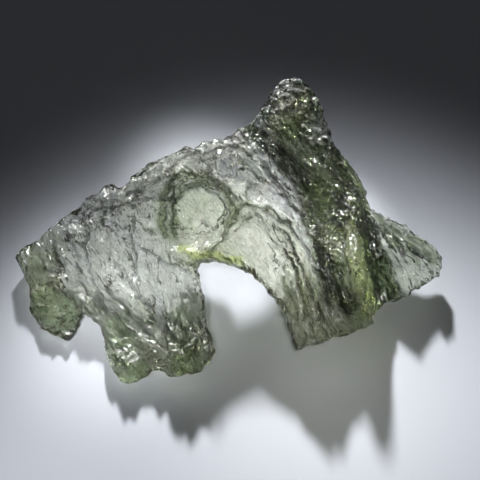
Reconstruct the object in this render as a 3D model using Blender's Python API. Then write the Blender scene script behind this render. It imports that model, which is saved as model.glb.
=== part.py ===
"""A moldavite: one etched shard of natural green glass, about 34 mm long, lying on the ground.

The shard is a thin, bent plate with a bay between two legs, a tall peak at the far right and a spur
under it.  Everything is drawn in the frame of its broad face: U runs to the right, V up the face and
W straight out of it.  The face frame leans back, so that the plate ends up lying almost flat.
"""

import math

import bmesh
import bpy
import numpy as np
from mathutils import Vector
from mathutils.geometry import delaunay_2d_cdt

MM = 0.001

# ---------------------------------------------------------------- driving dimensions, in millimetres
LEAN = math.radians(60.0)  # the face frame's W axis stands this far above the ground
LIFT = 4.45  # height of the face frame's centre above the ground
POINT_SPACING = 0.52  # distance between neighbouring points of the two skins
RIM_SPACING = 0.62  # the same along the outline
RIM_HALF = 0.14  # half the height of the narrow wall round the outline
ROUND_IN = 0.95  # the skins round over within this distance of the outline
FIRST_ROW = 0.30  # the first row of points lies this far inside the outline
ROW_GAP = 0.24  # and keeps this far from every stretch of it
PLATE = 1.3  # usual thickness of the plate
THINNEST = 0.75
CLEARANCE = 0.30  # the underside keeps this far off the ground, but at its feet
LOWEST_RIM = 0.60  # the upper skin is nowhere lower than this
FOOT_FLAT = 0.85  # radius of the flat spot under a foot
FOOT_BLEND = 1.5  # width of the slope from a foot up to the underside

# The outline, clockwise from the left tip, one list for each stretch, as (u, v).
TOP_EDGE = [
    (-18.3, -1.4), (-18.0, -1.0), (-17.4, -0.5), (-16.4, 0.0), (-15.6, 0.9), (-15.0, 1.2),
    (-14.2, 2.0), (-13.2, 2.6), (-12.5, 3.4), (-11.7, 3.7), (-11.1, 4.3), (-10.6, 4.6),
    (-9.9, 4.2), (-9.2, 4.5), (-8.8, 5.1), (-8.1, 5.5), (-7.6, 5.9), (-7.4, 6.3), (-6.9, 6.2),
    (-6.4, 6.6), (-5.8, 6.8), (-5.1, 7.1), (-4.5, 7.5), (-3.8, 7.4), (-2.6, 8.0), (-1.5, 8.1),
    (-0.8, 8.4), (-0.2, 8.9), (0.5, 9.2), (1.1, 9.6),
]
PEAK = [
    (1.5, 10.1), (1.7, 10.7), (2.2, 11.3), (2.6, 12.1), (3.0, 12.6), (3.3, 13.1), (4.0, 13.3),
    (4.8, 13.5), (5.2, 13.2), (5.6, 12.8), (6.1, 12.2), (6.5, 11.6), (6.7, 10.9), (6.8, 10.1),
    (7.2, 9.5), (7.3, 8.8), (7.5, 8.1), (7.9, 7.4), (8.4, 6.7), (8.9, 6.1), (9.4, 5.5),
    (9.8, 4.7), (10.2, 4.0), (10.2, 3.4),
]
RIGHT_LOBE = [
    (10.5, 2.6), (11.1, 2.3), (11.9, 1.9), (12.9, 1.4), (13.7, 1.0), (14.3, 0.4), (15.0, 0.0),
    (15.6, -0.5), (16.1, -1.0), (16.4, -1.6), (16.3, -2.2), (16.1, -2.9), (15.5, -3.2),
    (14.8, -3.7), (14.0, -4.0), (13.3, -4.6), (12.6, -4.8), (11.7, -5.0), (11.1, -5.4),
    (10.7, -5.7),
]
RIGHT_LEG = [
    (10.3, -6.0), (10.5, -6.5), (10.0, -6.9), (9.4, -7.0), (8.6, -7.4), (7.8, -7.5), (7.0, -7.7),
    (6.5, -7.9), (5.8, -8.1), (5.0, -8.3), (4.4, -8.6), (4.1, -8.1), (4.1, -7.5),
]
BAY = [
    (3.9, -6.8), (3.7, -6.2), (3.3, -5.3), (2.8, -4.7), (2.2, -4.0), (1.6, -3.4), (0.9, -2.7),
    (0.2, -2.4), (-0.4, -2.1), (-1.1, -1.9), (-2.0, -1.7), (-3.1, -1.7),
]
LEFT_LEG = [
    (-3.3, -2.2), (-3.2, -3.0), (-3.1, -3.9), (-2.8, -4.6), (-2.7, -5.2), (-2.7, -6.1),
    (-2.6, -6.9), (-2.3, -7.6), (-2.1, -8.0), (-2.0, -8.7), (-2.2, -9.3), (-2.6, -9.7),
    (-2.9, -10.2), (-3.4, -10.4), (-4.2, -10.4), (-4.9, -10.6), (-5.3, -10.7), (-5.7, -10.4),
    (-6.2, -10.2), (-6.8, -10.2),
]
FRONT_LOBE = [
    (-7.3, -10.6), (-7.8, -10.9), (-8.5, -11.2), (-9.2, -11.0), (-9.6, -10.6), (-9.9, -10.2),
    (-10.4, -9.6), (-10.6, -8.7), (-10.8, -7.9), (-10.9, -7.2), (-11.4, -6.6), (-12.0, -6.2),
    (-12.5, -5.9),
]
LOW_LIP = [
    (-12.8, -6.3), (-12.8, -6.8), (-13.2, -7.4), (-13.7, -7.9), (-14.6, -7.6), (-15.6, -7.2),
    (-16.2, -6.6), (-16.9, -5.5), (-16.9, -4.8), (-17.0, -4.0), (-17.2, -3.4), (-17.5, -2.8),
    (-17.9, -2.1),
]
OUTLINE = TOP_EDGE + PEAK + RIGHT_LOBE + RIGHT_LEG + BAY + LEFT_LEG + FRONT_LOBE + LOW_LIP

# How the middle of the plate bends: (u, v, w) at places along the edge and across the face.
BEND = [
    (-18.3, -1.4, -2.9), (-15.6, 0.8, -3.0), (-10.7, 4.3, -2.7), (-7.4, 6.1, -2.2),
    (-2.1, 8.0, -1.9), (1.5, 9.9, -2.9), (4.4, 13.3, -4.6), (8.5, 6.5, -2.4), (10.2, 3.4, -2.2),
    (12.0, 1.9, -2.8), (16.3, -1.8, -2.1), (12.6, -4.8, -1.0), (10.5, -6.4, 0.6), (8.6, -7.4, 1.5),
    (6.5, -7.9, 2.3), (4.4, -8.6, 2.1), (3.7, -6.2, 1.4), (2.2, -4.0, 0.8), (-0.6, -2.1, 0.1),
    (-3.2, -1.7, -0.1), (-2.5, -9.6, 1.9), (-5.3, -10.7, 1.6), (-8.7, -11.1, 1.5),
    (-11.1, -7.1, -0.3), (-15.0, -7.0, -0.1), (-11.3, -2.4, -1.6), (-6.4, -4.0, -0.3),
    (-3.5, 2.6, -1.4), (0.8, 0.8, -0.6), (4.7, -0.8, 0.4), (9.0, -1.6, 0.0), (12.6, -1.2, -1.5),
]

# Bowls in the upper skin: (u, v, half length, half width, turn in degrees, depth); a swelling is negative.
FACE_BOWLS = [
    (1.4, -0.8, 3.6, 2.3, -50, 0.95),  # the smooth hollow over the bay
    (-1.5, 5.9, 2.4, 1.3, 15, 0.60),
    (2.7, 3.3, 2.6, 1.5, -40, 0.50),
    (1.0, 3.8, 0.7, 0.7, 0, 0.35),
    (5.1, 7.4, 1.6, 1.2, -40, 0.75),  # hollows that climb to the peak
    (6.5, 4.9, 1.5, 1.1, -40, 0.65),
    (3.6, 11.4, 2.0, 1.7, 60, -0.75),  # the lump of the peak
    (6.0, 10.3, 1.1, 0.9, -60, 0.55),
    (7.6, 0.2, 2.0, 1.7, 0, 0.55),
    (-10.4, 4.0, 0.8, 0.8, 0, 0.35),
    (-12.8, 2.4, 1.5, 0.9, 40, 0.45),
    (-10.4, 1.6, 1.3, 1.0, 60, 0.45),
    (-7.4, 3.4, 1.7, 1.1, 20, 0.45),
    (-8.0, -4.6, 3.4, 2.2, -50, -0.35),  # the left plate swells towards its leg
    (-4.4, -8.2, 2.0, 2.3, 0, -0.55),
    (-8.8, -9.2, 2.2, 1.8, 0, -0.45),
    (14.0, -2.4, 1.8, 2.2, 30, 0.30),
    (11.4, -3.2, 1.3, 2.4, 10, 0.45),
    (5.2, -6.8, 1.4, 1.6, 0, -0.40),
    (-14.8, -6.0, 1.8, 1.0, -20, -0.30),
]

# The round bowl that an open bubble left in the face: its centre, radius, depth and the width of its wall.
BUBBLE_CENTRE = (-3.3, 2.3)
BUBBLE_RADIUS = 2.95
BUBBLE_DEPTH = 1.30
BUBBLE_WALL = 0.95

# Ridges and grooves of the upper skin: (half width, height, path); a groove's height is negative.
FACE_RIDGES = [
    (0.80, -1.10, [(1.3, 9.4), (2.2, 8.6), (3.2, 7.7), (4.1, 6.4), (5.2, 5.0), (5.8, 3.9), (6.1, 2.4)]),
    (0.80, 0.40, [(2.3, 9.4), (3.6, 8.4), (4.4, 6.9), (5.6, 6.0), (6.6, 6.1)]),
    (0.70, 0.60, [(-6.1, 1.4), (-6.2, 3.4), (-5.1, 5.5), (-3.3, 5.4), (-2.2, 4.9), (-0.2, 3.6)]),
    (0.60, -0.60, [(6.2, 8.9), (7.3, 7.2), (8.5, 5.5), (9.7, 3.9)]),
    (0.75, 1.10, [(9.3, 2.6), (9.0, 0.0), (9.2, -2.3), (9.6, -4.3), (10.0, -5.4)]),
    (0.85, -0.90, [(10.3, 1.6), (10.7, -0.8), (11.4, -3.4)]),
    (0.70, 0.40, [(11.1, 2.1), (12.4, 0.0), (13.4, -1.8), (13.9, -3.2)]),
    (0.75, -0.60, [(6.4, -1.7), (7.0, -3.9), (7.6, -5.6)]),
    (0.80, 0.50, [(3.6, 1.2), (4.7, -1.6), (5.6, -4.6), (6.3, -6.5)]),
    (0.60, -0.55, [(3.4, 3.0), (4.9, 1.2), (6.0, -1.0)]),
    (0.60, 0.65, [(-2.4, -1.0), (-1.6, 0.0), (-0.6, 1.2), (0.6, 2.7), (2.2, 2.6), (4.2, 1.2)]),
    (0.80, 0.35, [(-5.6, -0.4), (-4.0, -1.2), (-2.0, -1.4), (0.0, -2.0)]),
    (0.60, 0.35, [(-9.4, 3.6), (-8.4, 2.4), (-7.2, 1.0)]),
    (0.55, -0.35, [(-14.2, 0.6), (-12.9, -1.6), (-11.4, -4.0), (-9.8, -6.0)]),
    (0.60, 0.35, [(-13.2, 0.8), (-11.6, -1.8), (-10.0, -4.4), (-7.6, -7.4), (-6.0, -9.4)]),
    (0.55, -0.40, [(-8.2, 1.0), (-7.8, -1.6), (-6.8, -4.4), (-6.4, -6.8)]),
]

# The plate folds forwards over its low lip along this line; left and below of it the skin drops.
FOLD = [(-17.4, -3.3), (-15.5, -3.6), (-14.4, -3.9), (-13.2, -4.8), (-12.3, -5.9)]
FOLD_DROP = 0.9
FOLD_WIDTH = 0.9  # the step down over the fold is this wide
FOLD_END = -12.0  # right of this U there is no fold

# Where the glass is thicker than the plate: (u, v, half length, half width, turn in degrees, extra).
THICK = [
    (3.8, 11.0, 2.6, 2.4, 60, 1.0),
    (5.5, 7.0, 4.6, 2.6, -52, 1.1),
    (9.2, -1.8, 5.4, 2.4, -80, 1.3),
    (6.4, -4.0, 4.8, 2.6, -75, 1.0),
    (-4.2, -8.2, 2.8, 2.6, 0, 0.8),
    (-8.8, -9.0, 2.6, 2.6, 0, 0.4),
    (-3.0, -0.9, 3.6, 1.5, -12, 0.8),
    (-5.0, 6.0, 7.0, 1.6, 33, 0.5),
    (-14.8, -6.0, 2.0, 1.6, 0, 0.3),
]

# Bowls etched into the underside, in the same way as on the face.
BACK_BOWLS = [
    (-13.6, -1.2, 2.4, 1.6, 30, 0.35), (-9.4, 1.4, 2.6, 2.0, -20, 0.45),
    (-9.2, -4.0, 2.4, 1.9, 50, 0.40), (-5.2, 5.2, 1.9, 1.4, 10, 0.40),
    (-6.2, -6.6, 2.2, 1.7, -60, 0.50), (-0.6, 6.3, 2.0, 1.6, 0, 0.40),
    (0.8, 1.0, 2.4, 2.0, 20, 0.30), (3.4, 4.6, 1.8, 1.5, 0, 0.40),
    (3.9, -2.9, 1.7, 2.2, 10, 0.45), (5.6, -6.4, 1.7, 1.4, 0, 0.50),
    (13.9, -1.6, 2.0, 1.6, -30, 0.35), (3.9, 11.2, 1.6, 1.8, 0, 0.45),
    (11.6, -3.4, 1.4, 1.6, 0, 0.35), (-3.6, -9.0, 1.5, 1.4, 0, 0.45),
]

# The spur: a blade under the face that reaches the ground at the middle of its path.
SPUR_PATH = [(6.3, 7.0), (6.9, 5.2), (7.6, 3.3), (8.3, 0.6), (8.8, -2.6)]
SPUR_DEPTH = [0.7, 2.4, 5.0, 3.0, 1.0]
SPUR_HALF = 1.0
SPUR_SLOPE = 1.9

# The feet: places of the underside that stand on the ground, as (u, v).
SPUR_FOOT = (7.6, 3.3)
TIP_FOOT = (-16.2, -2.9)
LIP_FOOT = (-14.7, -6.3)
LOBE_FOOT = (-7.3, -9.8)
FEET = [SPUR_FOOT, TIP_FOOT, LIP_FOOT, LOBE_FOOT]

GLASS_GREEN = (0.36, 0.42, 0.28, 1.0)


# ---------------------------------------------------------------- shape helpers

def smooth_step(x):
    """0 below 0, 1 above 1, and a smooth rise between."""
    x = np.clip(x, 0.0, 1.0)
    return x * x * (3.0 - 2.0 * x)


def path_distance(points, path, closed=False):
    """For each point its distance to a path, and how far along the path the nearest place is."""
    path = np.array(path, float)
    starts, ends = (path, np.roll(path, -1, axis=0)) if closed else (path[:-1], path[1:])
    nearest = np.full(len(points), np.inf)
    along = np.zeros(len(points))
    for number, (start, end) in enumerate(zip(starts, ends)):
        run = end - start
        share = np.clip((points - start) @ run / (run @ run), 0.0, 1.0)
        distance = np.linalg.norm(points - (start + share[:, None] * run), axis=1)
        closer = distance < nearest
        nearest = np.where(closer, distance, nearest)
        along = np.where(closer, number + share, along)
    return nearest, along


def bowl(points, u, v, half_length, half_width, turn, depth):
    """A smooth oval hollow, deepest in its middle and level at its rim."""
    angle = math.radians(turn)
    du, dv = points[:, 0] - u, points[:, 1] - v
    a = (du * math.cos(angle) + dv * math.sin(angle)) / half_length
    b = (dv * math.cos(angle) - du * math.sin(angle)) / half_width
    return depth * np.clip(1.0 - a * a - b * b, 0.0, 1.0) ** 1.5


def bend_weights():
    """The weights of a thin bent sheet that passes through the places in BEND."""
    places = np.array(BEND)[:, :2]
    gaps = np.linalg.norm(places[:, None] - places[None], axis=2)
    flat = np.c_[np.ones(len(places)), places]
    system = np.block([[sheet_kernel(gaps), flat], [flat.T, np.zeros((3, 3))]])
    return np.linalg.solve(system, np.r_[np.array(BEND)[:, 2], np.zeros(3)])


def sheet_kernel(gaps):
    return gaps * gaps * np.log(np.maximum(gaps, 1e-6))


def middle(points):
    """Height W of the middle of the plate."""
    weights = bend_weights()
    places = np.array(BEND)[:, :2]
    gaps = np.linalg.norm(points[:, None] - places[None], axis=2)
    return sheet_kernel(gaps) @ weights[:-3] + weights[-3] + points @ weights[-2:]


def ground(points):
    """Height W at which the leaning face frame meets the ground."""
    return (-LIFT - points[:, 1] * math.cos(LEAN)) / math.sin(LEAN)


def skins(points, inset):
    """Heights W of the upper and the lower skin, for points this far inside the outline."""
    rounding = np.clip(inset / ROUND_IN, 0.0, 1.0)
    rounding = np.sqrt(1.0 - (1.0 - rounding) ** 2)
    thickness = PLATE + sum(bowl(points, *place) for place in THICK)
    relief = -sum(bowl(points, *place) for place in FACE_BOWLS)
    from_bubble = np.linalg.norm(points - np.array(BUBBLE_CENTRE), axis=1)
    relief -= BUBBLE_DEPTH * smooth_step((BUBBLE_RADIUS - from_bubble) / BUBBLE_WALL)
    for half_width, height, path in FACE_RIDGES:
        distance, _ = path_distance(points, path)
        relief += height * np.exp(-((distance / half_width) ** 2))
    distance, _ = path_distance(points, FOLD)
    fold_height = np.interp(points[:, 0], *np.array(FOLD).T)
    below = np.where(points[:, 1] < fold_height, distance, -distance)
    in_lip = smooth_step((FOLD_END - points[:, 0]) / FOLD_WIDTH)
    drop = FOLD_DROP * smooth_step(0.5 + below / FOLD_WIDTH) * in_lip
    centre = middle(points)
    upper = centre + RIM_HALF + (0.5 * thickness - RIM_HALF + relief) * rounding - drop
    upper = np.maximum(upper, ground(points) + LOWEST_RIM / math.sin(LEAN))
    etched = sum(bowl(points, *place) for place in BACK_BOWLS)
    lower = centre - RIM_HALF - (0.5 * thickness - RIM_HALF - etched) * rounding - drop
    lower = np.minimum(lower, upper - 2 * RIM_HALF - (THINNEST - 2 * RIM_HALF) * rounding)
    return upper, stand(points, lower, rounding)


def stand(points, lower, rounding):
    """The lower skin with its spur and feet, kept clear of the ground everywhere else."""
    distance, along = path_distance(points, SPUR_PATH)
    depth = np.interp(along, range(len(SPUR_DEPTH)), SPUR_DEPTH)
    lower = lower - depth * (1.0 - smooth_step((distance - SPUR_HALF) / SPUR_SLOPE)) * rounding
    floor = ground(points)
    lower = np.maximum(lower, floor + CLEARANCE / math.sin(LEAN))
    for foot in FEET:
        distance = np.linalg.norm(points - np.array(foot), axis=1)
        share = 1.0 - smooth_step((distance - FOOT_FLAT) / FOOT_BLEND)
        lower = lower + (floor - lower) * share
    return lower


# ---------------------------------------------------------------- the mesh of the two skins

def rim_points():
    """The outline, with long straight stretches divided."""
    rim = []
    for start, end in zip(OUTLINE, OUTLINE[1:] + OUTLINE[:1]):
        start, end = np.array(start), np.array(end)
        parts = max(1, math.ceil(np.linalg.norm(end - start) / RIM_SPACING))
        rim += [start + (end - start) * step / parts for step in range(parts)]
    return np.array(rim)


def inside(points, rim):
    """Whether each point lies inside the outline, by counting crossings to its right."""
    found = np.zeros(len(points), bool)
    for (u0, v0), (u1, v1) in zip(rim, np.roll(rim, -1, axis=0)):
        spans = (v0 > points[:, 1]) != (v1 > points[:, 1])
        cross = u0 + (points[:, 1] - v0) * (u1 - u0) / (v1 - v0 if v1 != v0 else 1.0)
        found ^= spans & (points[:, 0] < cross)
    return found


def inner_points(rim):
    """Points across the face: one row close inside the outline, and an even triangular grid."""
    ahead = np.roll(rim, -1, axis=0) - np.roll(rim, 1, axis=0)
    inward = np.c_[ahead[:, 1], -ahead[:, 0]] / np.linalg.norm(ahead, axis=1)[:, None]
    row = rim + inward * FIRST_ROW
    distance, _ = path_distance(row, rim, closed=True)
    row = row[inside(row, rim) & (distance > ROW_GAP)]
    low, high = rim.min(axis=0), rim.max(axis=0)
    rise = POINT_SPACING * math.sqrt(0.75)
    grid = []
    for number in range(int((high[1] - low[1]) / rise) + 1):
        shift = 0.5 * POINT_SPACING * (number % 2)
        for u in np.arange(low[0] + shift, high[0], POINT_SPACING):
            grid.append((u, low[1] + number * rise))
    grid = np.array(grid)
    distance, _ = path_distance(grid, rim, closed=True)
    grid = grid[inside(grid, rim) & (distance > FIRST_ROW + POINT_SPACING / 2)]
    return np.r_[row, grid]


def place(points, heights):
    """Points of the face frame, in the world and in metres."""
    u, v = points.T
    y = v * math.sin(LEAN) - heights * math.cos(LEAN)
    z = v * math.cos(LEAN) + heights * math.sin(LEAN) + LIFT
    return np.c_[u, y, z] * MM


def glass_material():
    material = bpy.data.materials.new("green_glass")
    material.use_nodes = True
    shader = material.node_tree.nodes["Principled BSDF"]
    shader.inputs["Base Color"].default_value = GLASS_GREEN
    shader.inputs["Roughness"].default_value = 0.12
    shader.inputs["Metallic"].default_value = 0.0
    shader.inputs["IOR"].default_value = 1.49
    shader.inputs["Transmission Weight"].default_value = 0.6
    return material


def build_moldavite():
    rim = rim_points()
    inner = inner_points(rim)
    flat = [Vector(point) for point in np.r_[rim, inner]]
    edges = [(i, (i + 1) % len(rim)) for i in range(len(rim))]
    found = delaunay_2d_cdt(flat, edges, [], 2, 1e-5)
    points = np.array([tuple(point) for point in found[0]])
    triangles = [tuple(face) for face in found[2]]
    origin = found[3]
    on_rim = np.array([any(i < len(rim) for i in sources) for sources in origin])
    centres = np.array([points[list(face)].mean(axis=0) for face in triangles])
    triangles = [face for face, keep in zip(triangles, inside(centres, rim)) if keep]

    inset, _ = path_distance(points, rim, closed=True)
    inset[on_rim] = 0.0
    upper, lower = skins(points, inset)
    top, bottom = place(points, upper), place(points, lower)

    mesh = bmesh.new()
    top_points = [mesh.verts.new(point) for point in top]
    bottom_points = [mesh.verts.new(point) for point in bottom]
    for a, b, c in triangles:
        mesh.faces.new((top_points[a], top_points[b], top_points[c]))
        mesh.faces.new((bottom_points[c], bottom_points[b], bottom_points[a]))
    walls = [edge for edge in mesh.edges if edge.is_boundary]
    bmesh.ops.bridge_loops(mesh, edges=walls)
    bmesh.ops.triangulate(mesh, faces=mesh.faces[:])
    loose = [point for point in mesh.verts if not point.link_faces]
    bmesh.ops.delete(mesh, geom=loose, context="VERTS")
    bmesh.ops.recalc_face_normals(mesh, faces=mesh.faces[:])
    shift = bounds_centre(mesh)
    bmesh.ops.translate(mesh, verts=mesh.verts[:], vec=-shift)

    data = bpy.data.meshes.new("moldavite")
    mesh.to_mesh(data)
    mesh.free()
    data.materials.append(glass_material())
    data.shade_smooth()
    shard = bpy.data.objects.new("moldavite", data)
    bpy.context.scene.collection.objects.link(shard)
    return shard


def bounds_centre(mesh):
    """The middle of the footprint, on the ground."""
    corners = np.array([point.co[:] for point in mesh.verts])
    low, high = corners.min(axis=0), corners.max(axis=0)
    return Vector(((low[0] + high[0]) / 2, (low[1] + high[1]) / 2, low[2]))


for old in list(bpy.data.objects):
    bpy.data.objects.remove(old, do_unlink=True)

shard = build_moldavite()
print(f"moldavite: {len(shard.data.polygons)} triangles, {shard.dimensions * 1000} mm")
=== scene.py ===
# %% [markdown]
# # A moldavite on pale paper
#
# The real object is one shard of natural glass, about 35 mm long, which molten drops became in
# flight and acids in the soil then etched for millions of years.  Its outline, its bend, its big
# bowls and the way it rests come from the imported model.  This file carves its finer skin, gives it
# green glass that light really passes through, and sets it in a small dark studio with one strong
# low lamp.

import math

import bpy
import numpy as np
from mathutils import Matrix, Vector


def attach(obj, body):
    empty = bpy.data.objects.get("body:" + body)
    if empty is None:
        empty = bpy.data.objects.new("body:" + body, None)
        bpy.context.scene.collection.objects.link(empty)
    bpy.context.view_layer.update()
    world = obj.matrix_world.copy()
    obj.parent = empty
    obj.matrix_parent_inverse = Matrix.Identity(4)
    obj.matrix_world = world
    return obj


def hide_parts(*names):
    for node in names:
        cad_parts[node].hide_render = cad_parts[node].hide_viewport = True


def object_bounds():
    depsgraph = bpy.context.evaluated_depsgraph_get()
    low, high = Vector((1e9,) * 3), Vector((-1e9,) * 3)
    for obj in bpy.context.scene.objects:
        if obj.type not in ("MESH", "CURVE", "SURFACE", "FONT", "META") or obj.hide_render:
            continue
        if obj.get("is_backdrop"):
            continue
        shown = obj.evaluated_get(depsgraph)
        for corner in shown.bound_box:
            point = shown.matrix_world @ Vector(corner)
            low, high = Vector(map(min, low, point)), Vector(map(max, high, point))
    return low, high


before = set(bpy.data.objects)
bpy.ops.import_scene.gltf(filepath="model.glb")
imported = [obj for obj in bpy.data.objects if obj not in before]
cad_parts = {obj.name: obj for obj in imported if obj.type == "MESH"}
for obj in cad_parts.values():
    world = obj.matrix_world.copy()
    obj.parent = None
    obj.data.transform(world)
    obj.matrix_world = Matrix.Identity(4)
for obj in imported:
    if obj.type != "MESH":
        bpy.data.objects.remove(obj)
CAD_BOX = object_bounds()
MM = 0.001

# %% [markdown]
# ## The face frame
#
# The shard is a bent plate, and its broad face leans back.  Every stroke below is laid out on that
# face in millimetres: u runs to the right, v up the face, and w out of it.  The strokes could be
# given in room coordinates, but then each would need three numbers and none could be drawn on
# paper; on a flat frame two plain numbers are enough.

# %% The face frame
LEAN = math.radians(60.0)
FACE_CENTRE = np.array([0.95, -1.71, 4.45])
FACE_RIGHT = np.array([1.0, 0.0, 0.0])
FACE_UP = np.array([0.0, math.sin(LEAN), math.cos(LEAN)])
FACE_OUT = np.array([0.0, -math.cos(LEAN), math.sin(LEAN)])


def on_face(points):
    """Points in millimetres, as (u, v) on the face."""
    return np.c_[(points - FACE_CENTRE) @ FACE_RIGHT, (points - FACE_CENTRE) @ FACE_UP]


print("face looks along", FACE_OUT.round(3))

# %% [markdown]
# ## The camera
#
# The eye looks straight down on the face, from just over 100 mm away, as with a macro lens.  A
# camera can be aimed with a Track To constraint, but here two numbers do it: it stands on the
# normal of the face and takes the lean of the face as its own tilt.

# %% The camera
VIEW_DISTANCE = 105.8
MACRO_LENS = 100.0
camera_data = bpy.data.cameras.new("camera")
camera_data.lens = MACRO_LENS
camera_data.sensor_width = 36.0
camera_data.clip_start = 0.001
camera_data.clip_end = 10.0
camera = bpy.data.objects.new("camera", camera_data)
bpy.context.scene.collection.objects.link(camera)
camera.location = Vector(FACE_CENTRE + FACE_OUT * VIEW_DISTANCE) * MM
camera.rotation_euler = (math.pi / 2 - LEAN, 0.0, 0.0)
bpy.context.scene.camera = camera
print("camera at", [round(c, 4) for c in camera.location])

# %% [markdown]
# ## Working by hand, in code
#
# An operator acts on all that is selected, so each step first deselects everything and then picks
# one object.  Modifiers are applied as soon as they are set, because the next step carves the
# points that they leave behind.

# %% Picking and applying
def deselect_all():
    """Leave edit mode and pick nothing."""
    if bpy.context.object and bpy.context.object.mode != "OBJECT":
        bpy.ops.object.mode_set(mode="OBJECT")
    bpy.ops.object.select_all(action="DESELECT")


def make_active(piece):
    """Pick this piece alone."""
    deselect_all()
    piece.select_set(True)
    bpy.context.view_layer.objects.active = piece


def apply_modifier(piece, name):
    """Turn what a modifier shows into real mesh."""
    make_active(piece)
    bpy.ops.object.modifier_apply(modifier=name)


print("picked", len(bpy.context.selected_objects), "objects")


# %% Resizing, reading and moving points
def resize_all(piece, factor):
    """Scale the mesh about the origin, as S does in edit mode."""
    make_active(piece)
    bpy.ops.object.mode_set(mode="EDIT")
    bpy.ops.mesh.select_all(action="SELECT")
    bpy.ops.transform.resize(value=(factor,) * 3, center_override=(0.0, 0.0, 0.0))
    bpy.ops.object.mode_set(mode="OBJECT")


def points_of(piece):
    """The points of a mesh, one row each."""
    found = np.empty(len(piece.data.vertices) * 3)
    piece.data.vertices.foreach_get("co", found)
    return found.reshape(-1, 3)


def normals_of(piece):
    """The direction in which each point faces."""
    found = np.empty(len(piece.data.vertices) * 3)
    piece.data.vertex_normals.foreach_get("vector", found)
    return found.reshape(-1, 3)


def put_points(piece, points):
    """Move the points of a mesh to new places."""
    piece.data.vertices.foreach_set("co", points.ravel())
    piece.data.update()


print("packed solid has", len(points_of(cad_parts["moldavite"])), "points")

# %% [markdown]
# ## The blank
#
# A sculptor starts from a blank: the right outline and bulk with no skin yet.  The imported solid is
# that blank, but it is made of loose triangles.  So a copy is merged, and a voxel remesh gives it
# even small faces that take fine carving; subdividing would only have made its long triangles
# longer.  A few rounds of smoothing take away the steps that the voxels leave.  It is worked in
# millimetres, because a remesh of a few hundredths of a millimetre is nicer to read as 0.096 than
# as 0.000096.

# %% The blank
SAME_POINT = 1e-6
VOXEL = 0.096
ROUNDS = 8
make_active(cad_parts["moldavite"])
bpy.ops.object.duplicate()
shard = bpy.context.active_object
shard.name = "shard"
shard.parent = None
for key in list(shard.keys()):
    del shard[key]
bpy.ops.object.mode_set(mode="EDIT")
bpy.ops.mesh.select_all(action="SELECT")
bpy.ops.mesh.remove_doubles(threshold=SAME_POINT)
bpy.ops.object.mode_set(mode="OBJECT")
resize_all(shard, 1 / MM)
remesh = shard.modifiers.new("even skin", "REMESH")
remesh.mode = "VOXEL"
remesh.voxel_size = VOXEL
apply_modifier(shard, "even skin")
smooth = shard.modifiers.new("voxel steps", "SMOOTH")
smooth.factor = 0.5
smooth.iterations = ROUNDS
apply_modifier(shard, "voxel steps")
print("blank has", len(shard.data.polygons), "faces")

# %% [markdown]
# ## Carving strokes
#
# Etched glass has three kinds of mark: steps, where one layer of the melt stood up to the acid
# better than the next; furrows along the flow of the melt; and cups, where bubbles or grains of
# soil sat.  With a tablet they would be drawn with the Crease, Scrape and Draw brushes of Sculpt
# Mode.  A brush can't be replayed exactly, so each stroke is written as a path on the face and its
# effect as a height, which gives the same shard every time.  No operator can draw a stroke that
# wanders and thins out like these.

# %% Measuring from a stroke
END_FADE = 0.8


def smooth_step(x):
    """0 below 0 and 1 above 1, with a soft start and end in between."""
    x = np.clip(x, 0.0, 1.0)
    return x * x * (3.0 - 2.0 * x)


def path_distance(places, path):
    """Distance to a path, and whether a place lies to the right of it."""
    path = np.array(path)
    nearest = np.full(len(places), np.inf)
    right = np.zeros(len(places), bool)
    for start, end in zip(path[:-1], path[1:]):
        run = end - start
        share = np.clip((places - start) @ run / (run @ run), 0.0, 1.0)
        gap = places - (start + share[:, None] * run)
        distance = np.linalg.norm(gap, axis=1)
        closer = distance < nearest
        nearest = np.where(closer, distance, nearest)
        right = np.where(closer, run[0] * gap[:, 1] - run[1] * gap[:, 0] < 0, right)
    return nearest, right


def end_fade(places, path):
    """1 along a path, fading to 0 near its two ends."""
    ends = np.array([path[0], path[-1]])
    distance = np.linalg.norm(places[:, None] - ends[None], axis=2).min(axis=1)
    return smooth_step(distance / END_FADE)


print("strokes fade out over", END_FADE, "mm at their ends")

# %% Ledges and grooves
LIP = 0.25
FALL_CURVE = 1.5


def ledge(places, depth, reach, path):
    """A sharp step down to the right of a path, which runs out again within its reach."""
    distance, right = path_distance(places, path)
    fall = np.where(right, np.clip(1.0 - distance / reach, 0.0, 1.0) ** FALL_CURVE, 0.0)
    lip = np.where(right, 0.0, np.exp(-distance / LIP)) * LIP
    return depth * (lip - fall) * end_fade(places, path)


def groove(places, depth, half_width, path):
    """A furrow with a sharp bottom along a path."""
    distance, _ = path_distance(places, path)
    return -depth * np.clip(1.0 - distance / half_width, 0.0, 1.0) * end_fade(places, path)


print("a ledge has a lip", LIP, "mm wide")

# %% Wandering and scooping
SWAY, QUIVER = 0.10, 0.05


def wander(places):
    """Places shifted a little to and fro, so that drawn strokes run as unevenly as etched ones."""
    u, v = places.T
    sideways = SWAY * np.sin(2.9 * v + 1.3 * u) + QUIVER * np.sin(6.3 * v - 2.9 * u + 1.0)
    upward = SWAY * np.sin(2.7 * u - 1.7 * v + 2.0) + QUIVER * np.sin(6.7 * u + 3.1 * v)
    return places + np.c_[sideways, upward]


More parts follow.
